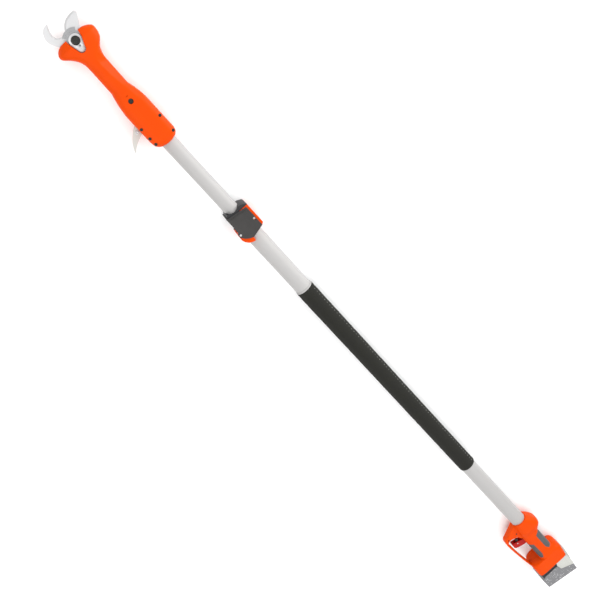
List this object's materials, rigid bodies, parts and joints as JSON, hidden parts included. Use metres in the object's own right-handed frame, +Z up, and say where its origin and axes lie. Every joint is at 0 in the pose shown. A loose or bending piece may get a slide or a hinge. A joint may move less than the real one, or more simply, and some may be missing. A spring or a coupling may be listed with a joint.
{
  "type": "telescoping pole pruner",
  "caption": "Battery-driven bypass pruning head on a telescoping two-tube pole with a flip clamp, foam grip and a trigger handle with a slide-in battery.",
  "frame": {"origin": "middle of the underside of the tool as it lies on its side on a level floor", "axes": "+X along the pole towards the blades, +Y towards the trigger guard side, +Z up, along the blade pivot"},
  "size_m": [1.55, 0.093, 0.05],
  "materials": {
    "orange": "satin moulded",
    "steel": "polished",
    "dark_steel": "blackened",
    "gear_steel": "machined",
    "bronze": "plain",
    "aluminium": "satin anodised",
    "cast": "cast",
    "black_plastic": "fine texture",
    "dark_plastic": "fine texture",
    "foam": "closed-cell foam",
    "soft_grey": "soft touch",
    "red_plastic": "satin",
    "grey_plastic": "textured",
    "white_plastic": "glossy",
    "light_hook": "plain",
    "copper": "windings",
    "board": "circuit board",
    "cell": "sleeve",
    "cable": "sheath"
  },
  "bodies": {
    "lower_pole": {"lower_tube": "aluminium", "foam_grip": "foam", "foam_ring": "steel", "clamp_collar": "black_plastic", "clamp_body": "orange", "lever_pin": "steel", "clamp_pin": "steel", "pressure_pad": "black_plastic", "handle_shell_top": "orange", "handle_shell_bottom": "orange", "grip_insert_back": "soft_grey", "grip_insert_front": "soft_grey", "trigger_pin": "steel", "trigger_spring": "steel", "micro_switch": "black_plastic", "control_board": "board", "handle_screws": "dark_steel", "terminal_block": "black_plastic", "coiled_cable": "cable"},
    "upper_pole": {"upper_tube": "aluminium", "guide_bush": "black_plastic", "straight_cable": "cable", "tube_socket": "aluminium", "head_shell_top": "orange", "head_shell_bottom": "orange", "head_case": "cast", "hook_blade": "steel", "pivot_bolt": "dark_steel", "pivot_nut": "dark_steel", "lock_plate": "steel", "lock_screw": "steel", "blade_washers": "bronze", "pinion_bearings": "steel", "ring_gear": "gear_steel", "rotor_bearings": "steel", "motor_stator": "copper", "motor_can": "gear_steel", "motor_end_cap": "black_plastic", "shell_screws": "dark_steel", "body_screw": "dark_steel", "branch_hook": "light_hook", "hook_screw": "steel"},
    "moving_blade": {"cutting_blade": "steel", "blade_gear": "gear_steel"},
    "carrier": {"pinion_carrier": "gear_steel", "planet_pins": "steel"},
    "planet_1": {"planet_gear_1": "bronze"},
    "planet_2": {"planet_gear_2": "bronze"},
    "planet_3": {"planet_gear_3": "bronze"},
    "rotor": {"motor_rotor": "gear_steel"},
    "lever": {"clamp_lever": "dark_plastic"},
    "trigger_body": {"trigger": "red_plastic", "safety_pin": "steel"},
    "safety": {"safety_catch": "dark_plastic"},
    "battery": {"battery_case": "black_plastic", "battery_cap": "grey_plastic", "battery_panel": "white_plastic", "battery_seal": "black_plastic", "battery_cells": "cell"},
    "latch": {"battery_latch": "black_plastic"}
  },
  "joints": [
    {"name": "pole_slide", "type": "slide", "parent": "lower_pole", "child": "upper_pole", "axis": [1, 0, 0], "range_m": [-0.145, 0.55], "deforming": ["coiled_cable"]},
    {"name": "blade_pivot", "type": "hinge", "parent": "upper_pole", "child": "moving_blade", "pos_m": [0.729, -0.0095, 0.025], "axis": [0, 0, 1], "range_deg": [0, 55]},
    {"name": "carrier_spin", "type": "hinge", "parent": "upper_pole", "child": "carrier", "pos_m": [0.699, -0.0095, 0.025], "axis": [1, 0, 0], "range_deg": [0, 220]},
    {"name": "rotor_spin", "type": "hinge", "parent": "upper_pole", "child": "rotor", "pos_m": [0.649, -0.0095, 0.025], "axis": [1, 0, 0], "range_deg": [0, 880]},
    {"name": "planet_1_spin", "type": "hinge", "parent": "carrier", "child": "planet_1", "pos_m": [0.684, -0.0095, 0.0322], "axis": [1, 0, 0], "range_deg": [-660, 0]},
    {"name": "planet_2_spin", "type": "hinge", "parent": "carrier", "child": "planet_2", "pos_m": [0.684, -0.01573, 0.0214], "axis": [1, 0, 0], "range_deg": [-660, 0]},
    {"name": "planet_3_spin", "type": "hinge", "parent": "carrier", "child": "planet_3", "pos_m": [0.684, -0.00327, 0.0214], "axis": [1, 0, 0], "range_deg": [-660, 0]},
    {"name": "clamp_lever_swing", "type": "hinge", "parent": "lower_pole", "child": "lever", "pos_m": [0.317, 0.0095, 0.025], "axis": [0, 0, 1], "range_deg": [0, 100]},
    {"name": "trigger_pull", "type": "hinge", "parent": "lower_pole", "child": "trigger_body", "pos_m": [-0.635, 0.0025, 0.025], "axis": [0, 0, 1], "range_deg": [0, 9], "stiffness_Nm_per_rad": 0.6, "springref_deg": -5.73},
    {"name": "safety_press", "type": "hinge", "parent": "trigger_body", "child": "safety", "pos_m": [-0.627, 0.0265, 0.025], "axis": [0, 0, 1], "range_deg": [-10, 0], "stiffness_Nm_per_rad": 0.05, "springref_deg": 5.73},
    {"name": "battery_slide", "type": "slide", "parent": "lower_pole", "child": "battery", "axis": [-1, 0, 0], "range_m": [0, 0.05]},
    {"name": "latch_press", "type": "slide", "parent": "battery", "child": "latch", "axis": [0, -1, 0], "range_m": [0, 0.0018], "stiffness_N_per_m": 600, "springref_m": -0.0005}
  ],
  "couplings": [
    {"joint": "carrier_spin", "follows": "blade_pivot", "ratio": 4},
    {"joint": "rotor_spin", "follows": "blade_pivot", "ratio": 16},
    {"joint": "planet_1_spin", "follows": "blade_pivot", "ratio": -12},
    {"joint": "planet_2_spin", "follows": "blade_pivot", "ratio": -12},
    {"joint": "planet_3_spin", "follows": "blade_pivot", "ratio": -12}
  ]
}
